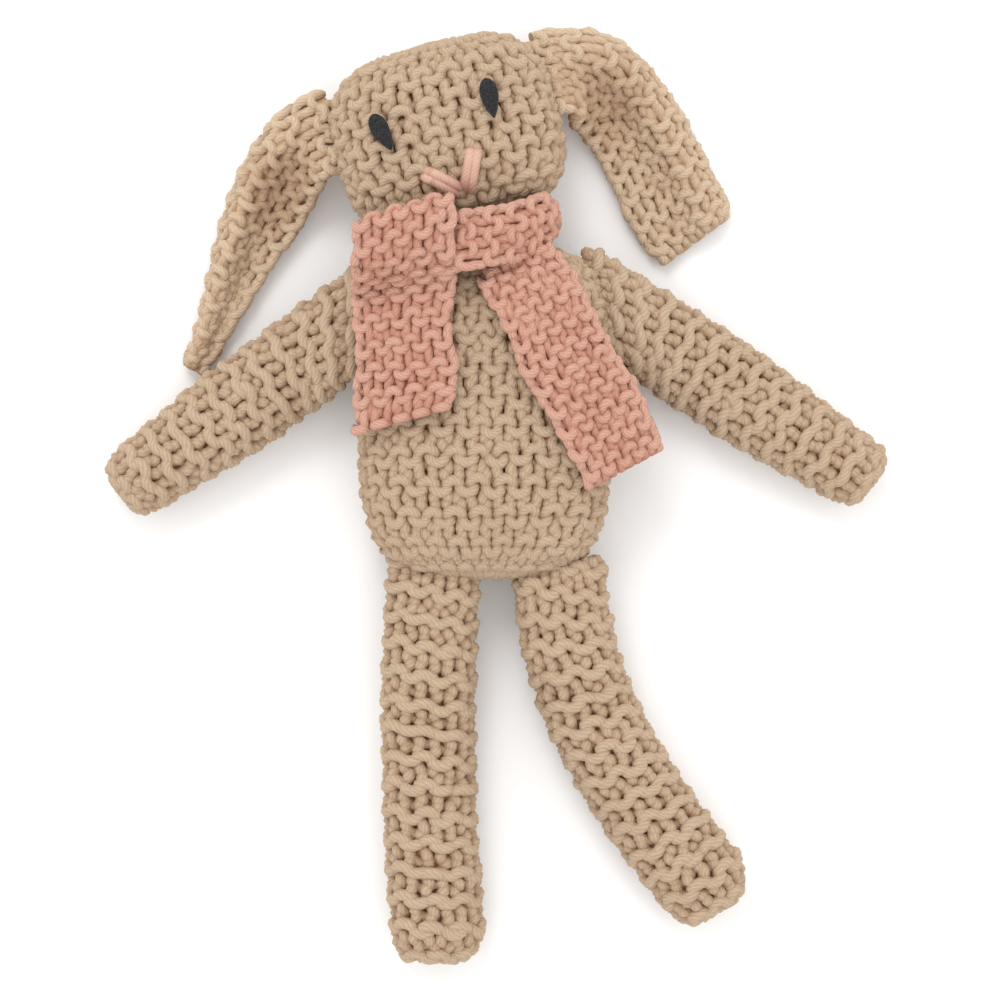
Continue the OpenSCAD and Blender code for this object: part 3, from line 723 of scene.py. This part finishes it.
for side, name in ((-1, "left_ear"), (1, "right_ear")):
    ear_cloth = Cloth(ear_lines(side), False, around=60)
    ear_rows = round(ear_cloth.length / 4.1)
    ear_stitches = 4 if side < 0 else 5
    strands = garter_rows(
        ear_cloth, ear_rows, ear_stitches, 41 + side, reach=0.9, bulge=0.13, depth=1.1, sunk=0.6
    )
    shaded = 0.24 if side < 0 else 0.76  # the yarn is in shade round the hollow near the root
    for points, _, height in strands:
        spot = np.linalg.norm(points - ear_cloth.at([shaded], [0.3])[0], axis=1)
        height -= 2.0 * ease(1.5 - spot / 14)
    ear_knit = spin(name + "_knit", strands, EAR_YARN_R, False, ear_yarn_lit)
    ear_ground = lining(name + "_ground", ear_cloth, 0.4, hollow, 14, 40, thick=0.8)
    spine = ear_spine(side)
    root, further = spine[0], mixed(spine[0], spine[1], 0.45)
    for piece in (ear_knit, ear_ground):
        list(root * MM)
        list(further * MM)
        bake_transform(piece)
    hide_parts(name)

# ---------------------------------------------------------------------------------------------
# Scarf: one long strip of pink garter stitch. It goes once round the neck; the free end comes up
# behind the band and folds down over it, and both tails lie on the chest.
# ---------------------------------------------------------------------------------------------
SCARF_W, SCARF_T = 30.0, 5.0
NECK_W = 32.4
NECK_Y = BODY_L / 2 + NECK_GAP / 2
BAND_TOP = max(BODY_T, HEAD_T) + 3.4
BAND_RX = NECK_W / 2 + SCARF_T / 2 + 0.5 + 1.6
BAND_RZ = (BAND_TOP - SCARF_T / 2) / 2 - 0.3
TAIL_X = NECK_X - SCARF_W / 2 - 5.4
KNOT_TOP = BAND_TOP + SCARF_T / 2 + 0.5 - 1.5 + 0.4
SCARF_YARN_R = 1.45

pink = yarn_finish("pink scarf yarn", linear(203, 160, 141), linear(184, 130, 110), linear(164, 98, 80))
pink_ground = filling_finish("shaded pink yarn", linear(186, 124, 104), linear(160, 96, 78))


def chest_height(x, y):
    """Outer height of the body bag."""
    p = np.where(y > 0, BODY_TOP_ROUND, BODY_LOW_ROUND)
    share = (np.abs(2 * x / BODY_W) ** p + np.abs(2 * y / BODY_L) ** p) ** (1 / p)
    return BODY_MID + (BODY_T - BODY_MID) * fullness(share)


def drape(x, y):
    """Height of the middle of a tail lying on the chest; it droops past the body's edge."""
    stop = 0.38 * BODY_W
    beyond = np.maximum(0, np.abs(x) - stop)
    on_chest = chest_height(np.minimum(stop, np.abs(x)), np.clip(y, -0.42 * BODY_L, 0.42 * BODY_L))
    return on_chest - 0.3 * beyond + 1.1 + SCARF_T / 2


def scarf_piece(name, cloth, stitches, seed, body, nodes, blend=None):
    rows = round(cloth.length / 3.65)
    strands = garter_rows(cloth, rows, stitches, seed, bulge=0.14, depth=1.25, sunk=0.9, loose=1.2)
    knit = spin(name + "_knit", strands, SCARF_YARN_R, False, pink)
    back = lining(name + "_ground", cloth, 0.3, pink_ground, 16, max(12, rows), thick=0.8)
    for piece in (knit, back):
        if blend:
            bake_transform(piece)
        else:
            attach(piece, body)
    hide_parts(*nodes)


band_lines = []
for turn in np.linspace(math.radians(-100), math.radians(262), 120):
    out = np.array([math.cos(turn), 0, math.sin(turn)])
    x = BAND_RX * out[0] + 3.2 * max(0, out[0]) ** 2
    tall = out[2]
    if tall > 0:
        half = mixed(2.6, SCARF_W / 2, ease((tall - (0.25 if x < 0 else -0.2)) / 0.6)) / 2
    else:
        half = mixed(2.6, 0.27 * SCARF_W, ease((-tall - 0.6) / 0.4)) / 2
    lean = math.tan(LEAN) * (0.5 if x < 0 else 0.7)
    y = NECK_Y - 3.4 * ease(tall) - 1.2 * ease(-tall) + x * lean
    middle = np.array([NECK_X + x, y, (BAND_TOP + SCARF_T / 2) / 2 + BAND_RZ * out[2]])
    w = np.linspace(-1, 1, 24)
    band_lines.append(middle + np.outer(w * half, [0, 1, 0]) + out * (0.6 * np.cos(3 * w))[:, None])
band_cloth = Cloth(band_lines, False, around=60)
scarf_piece(
    "scarf_band", band_cloth, 3, 51, "torso", ["scarf_neck_band"],
)

# The folded end and the left tail are one stretch of the strip
FOLD = [(50, -1.8), (55.0, -1.4), (58.0, 0.6), (57.0, 3.2), (52.0, 3.9), (46.5, 2.6)]
across = np.linspace(-1, 1, 30)
left_lines = []
for y, lift in FOLD:
    x = TAIL_X + 0.8 + across * (SCARF_W / 2 - 1.6)
    left_lines.append(np.c_[x, y + 4.0 * across, np.full(30, KNOT_TOP + lift)])
for y in np.linspace(42, -2.5, 24):
    settle = ease((46.5 - y) / 12)
    x = TAIL_X + 0.8 + 0.6 * math.sin(y / 6) + across * (SCARF_W / 2 - 1.6 + 0.5 * math.sin(y / 5))
    slope = mixed(4.0, 1.0, settle) + 2.6 * ease((8 - y) / 10)
    left_lines.append(np.c_[x, y + slope * across, mixed(KNOT_TOP + 2.2, drape(x, y), settle)])
left_cloth = Cloth([line[::-1] for line in left_lines], False, around=60)
scarf_piece(
    "scarf_left", left_cloth, 5, 52, "scarf_left_tail", ["scarf_knot", "scarf_left_tail"],
    blend=((TAIL_X * MM, 0.048, 0.04), (TAIL_X * MM, 0.032, 0.04)),
)

# The right tail comes out from under the band
TAIL_TURN = math.radians(28.5)
TAIL_ROOT = np.array([0.12 * BODY_W, NECK_Y - SCARF_W / 4 - 4.5])
right_lines = []
for s in np.linspace(-5, 66, 40):
    way = np.array([math.sin(TAIL_TURN), -math.cos(TAIL_TURN)])
    square = np.array([math.cos(TAIL_TURN), math.sin(TAIL_TURN)])
    middle = TAIL_ROOT + way * s + square * (1.6 + 0.5 * math.sin(s / 6))
    half = 11.6 + 0.9 * math.sin(s / 20 - 0.3) + 0.3 * math.sin(s / 3.5)
    x = middle[0] + square[0] * across * half
    y = middle[1] + square[1] * across * half
    right_lines.append(np.c_[x[::-1], y[::-1], drape(x, y)[::-1]])
right_cloth = Cloth(right_lines, False, around=60)
scarf_piece(
    "scarf_right", right_cloth, 5, 53, "scarf_right_tail", ["scarf_right_tail"],
    blend=((*(TAIL_ROOT + [-1.5, 3]) * MM, 0.04), (*(TAIL_ROOT + [3, -7]) * MM, 0.04)),
)

# ---------------------------------------------------------------------------------------------
# Sewing: the same plied yarn joins the panels round the bags, closes the limbs and holds the roots.
# Each seam is a row of slanting whip stitches, which is a helix along the seam.
# ---------------------------------------------------------------------------------------------
sewing = yarn_finish("sewing yarn", linear(204, 181, 155), linear(186, 157, 128), linear(164, 128, 98))


SEWING_R = 0.7
HELIX_STEPS = 10


def whip_stitches(name, line, radius, step, body, node):
    """A helix of yarn along a seam line."""
    line = np.asarray(line, float)
    length = np.linalg.norm(np.diff(line, axis=0), axis=1).sum()
    count = max(24, int(length / step * HELIX_STEPS))
    path = evenly(line, count)
    ahead = np.gradient(path, axis=0)
    ahead /= np.linalg.norm(ahead, axis=1, keepdims=True)
    side = np.cross(ahead, (0, 0, 1))
    side /= np.maximum(np.linalg.norm(side, axis=1, keepdims=True), 1e-9)
    over = np.cross(side, ahead)
    turn = np.arange(count) / HELIX_STEPS * 2 * math.pi
    points = path + side * (np.cos(turn) * radius)[:, None] + over * (np.sin(turn) * radius)[:, None]
    piece = spin(name, [(points, over, np.ones(count))], SEWING_R, False, sewing)
    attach(piece, body)
    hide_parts(node)


def bag_edge(width, length, p, z):
    turn = np.linspace(0, 2 * math.pi, 200)
    x = (width / 2 - 2.6) * signed_pow(np.cos(turn), 2 / p)
    y = (length / 2 - 1.8) * signed_pow(np.sin(turn), 2 / p)
    return np.c_[x, y, np.full(200, z)]


whip_stitches("body_seam", bag_edge(BODY_W, BODY_L, 4.2, BODY_MID), 1.5, 4.5, "torso", "body_side_seam")
head_edge = on_head(bag_edge(HEAD_W, HEAD_L, HEAD_ROUND, HEAD_MID))
whip_stitches("head_seam", head_edge, 1.5, 4.5, "head", "head_side_seam")
LIMB_EDGE = {"left_arm": 0.0, "right_arm": 0.5, "left_leg": 0.5, "right_leg": 0.0}
for name, cloth in (*arm_cloth.items(), *leg_cloth.items()):
    edge = cloth.at(np.full(60, LIMB_EDGE[name]), np.linspace(0.3, 0.95, 60))[0]
    whip_stitches(name + "_seam_yarn", edge, 1.2, 4.5, name, name + "_seam")
for side, name in ((-1, "left"), (1, "right")):
    x, y, w = side * (BODY_W / 2 + ROOT_GAP / 2 - 0.8), ARM_ROOT_Y[side] - 3, 0.55 * ARM_ROOT_W[side]
    line = np.c_[np.full(20, x), np.linspace(y - w / 2, y + w / 2, 20), np.full(20, BODY_MID)]
    whip_stitches(name + "_shoulder_sewing", line, 1.9, 4.0, "torso", name + "_shoulder_stitches")
    x = LEG_SPINE[name + "_leg"][0][0] - side
    line = np.c_[np.linspace(x - 10, x + 10, 20), np.full(20, LEG_ROOT_Y + 0.6), np.full(20, BODY_MID)]
    whip_stitches(name + "_hip_sewing", line, 1.9, 4.0, "torso", name + "_hip_stitches")
    root = HEAD_AT + HEAD_ACROSS * side * (HEAD_W / 2 + ROOT_GAP / 2 - 0.8) + HEAD_UP * 0.19 * HEAD_L
    line = root + np.outer(np.linspace(-8, 8, 20), HEAD_UP) + [0, 0, HEAD_MID]
    whip_stitches(name + "_ear_sewing", line, 1.9, 4.0, "head", name + "_ear_stitches")

# ---------------------------------------------------------------------------------------------
# Neck: the gathered stitches between the two bags, with filling inside.
# The scarf's band hides most of it.
# ---------------------------------------------------------------------------------------------
NECK_HALF_T = 7.6
neck_lines = []
for share in np.linspace(-0.25, 1.25, 14):
    turn = np.arange(80) / 80 * 2 * math.pi
    x = -NECK_W / 2 * np.cos(turn)
    base = np.c_[NECK_X + x, np.full(80, BODY_L / 2), (BODY_MID + HEAD_MID) / 2 + NECK_HALF_T * np.sin(turn)]
    base[:, 1] += share * (NECK_GAP + x * math.tan(LEAN))
    neck_lines.append(base)
neck_cloth = Cloth(neck_lines, True, count=20, around=80)
neck = spin("neck_gather", garter_rows(neck_cloth, 4, 12, 61, depth=0.9), 1.4, True, oatmeal)
neck_fill = lining("neck_filling", neck_cloth, 2.0, ground, 24, 6)
for piece in (neck, neck_fill):
    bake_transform(piece)
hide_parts("neck_seam")

# ---------------------------------------------------------------------------------------------
# Where it lies: a plain white table under a soft white sky.
# A wide lamp stands beyond the head, and a weaker one beside the body fills the shade.
# ---------------------------------------------------------------------------------------------
scene = bpy.context.scene
bm = bmesh.new()
bmesh.ops.create_grid(bm, x_segments=1, y_segments=1, size=3.0)
mesh = bpy.data.meshes.new("table")
bm.to_mesh(mesh)
bm.free()
table = bpy.data.objects.new("table", mesh)
table.location.z = -0.0002
scene.collection.objects.link(table)
table_top = Finish("white table", 0.7, 0.0, (1, 1, 1))
table_top.shader.inputs["Base Color"].default_value = (0.93, 0.93, 0.93, 1)
mesh.materials.append(table_top.material)

world = bpy.data.worlds.new("sky")
world.use_nodes = True
world.node_tree.nodes["Background"].inputs["Color"].default_value = (1, 1, 1, 1)
world.node_tree.nodes["Background"].inputs["Strength"].default_value = 1.2
scene.world = world


def lamp(name, place, aim, size, power):
    light = bpy.data.lights.new(name, "AREA")
    light.shape, light.size, light.energy = "DISK", size, power
    holder = bpy.data.objects.new(name, light)
    scene.collection.objects.link(holder)
    holder.location = place
    holder.rotation_euler = (Vector(aim) - Vector(place)).to_track_quat("-Z", "Y").to_euler()


lamp("wide lamp", (-0.25, 0.75, 1.0), (0, 0, 0), 0.5, 4.0)
lamp("fill lamp", (0.5, -0.3, 1.2), (0, 0, 0), 0.9, 1.2)

camera = bpy.data.cameras.new("camera")
camera.lens, camera.sensor_width = 100, 36
camera_at = bpy.data.objects.new("camera", camera)
camera_at.location = (0.0045, -0.02625, 0.8533)
scene.collection.objects.link(camera_at)
scene.camera = camera_at
scene.view_settings.view_transform = "Standard"
